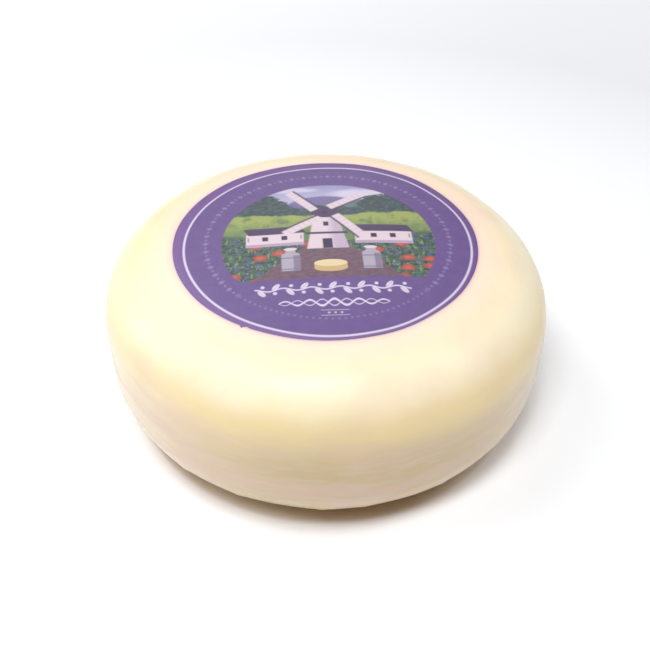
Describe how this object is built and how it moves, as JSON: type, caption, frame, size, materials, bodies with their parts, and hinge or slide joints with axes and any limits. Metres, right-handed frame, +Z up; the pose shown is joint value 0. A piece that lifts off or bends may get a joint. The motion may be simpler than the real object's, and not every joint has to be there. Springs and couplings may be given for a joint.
{
  "type": "cheese wheel",
  "caption": "Whole small wheel of semi-hard cheese with rounded shoulders, a domed crown and a flat base, with a round paper label on top.",
  "frame": {"origin": "middle of the flat base that the wheel stands on", "axes": "+Z up along the wheel's axis, +Y towards the far (upper) edge of the label's picture, +X to the right when the picture is upright"},
  "size_m": [0.244, 0.244, 0.1037],
  "materials": {
    "cheese_coat": "satin",
    "label_paper": "satin"
  },
  "bodies": {
    "root": {"cheese_wheel": "cheese_coat", "paper_label": "label_paper"}
  },
  "joints": []
}
